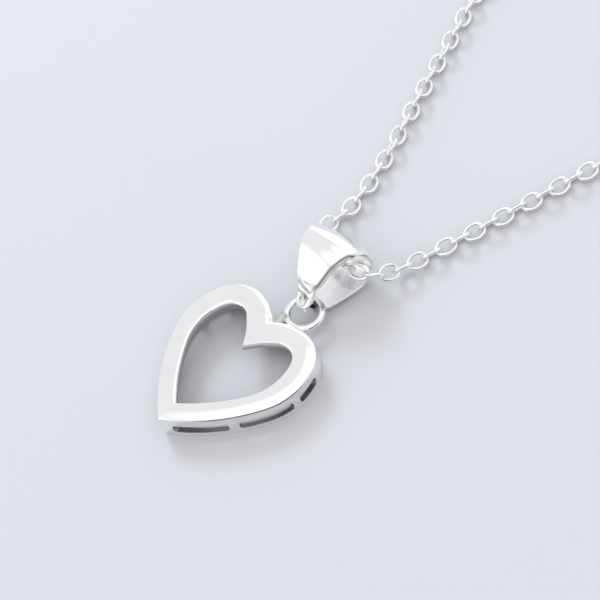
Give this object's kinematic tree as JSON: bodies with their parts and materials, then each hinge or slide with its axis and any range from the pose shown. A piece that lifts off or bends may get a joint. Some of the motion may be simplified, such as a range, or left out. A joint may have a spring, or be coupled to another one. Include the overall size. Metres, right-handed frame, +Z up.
{
  "type": "heart pendant",
  "caption": "Open heart pendant with a pierced gallery wall, a ring soldered in its notch and a folded tapered bail, lying on a surface on its closed cable chain.",
  "frame": {"origin": "middle of the heart's back rim, on the surface that the necklace lies on", "axes": "+Z up off the surface, +Y from the heart's point to its lobes and on towards the clasp, +X to the right seen from above"},
  "size_m": [0.0905, 0.2004, 0.0059],
  "materials": {
    "polished_silver": "polished silver",
    "chain_silver": "bright silver wire"
  },
  "bodies": {
    "root": {"heart": "polished_silver", "bail": "polished_silver", "chain": "chain_silver", "clasp": "chain_silver"}
  },
  "joints": []
}
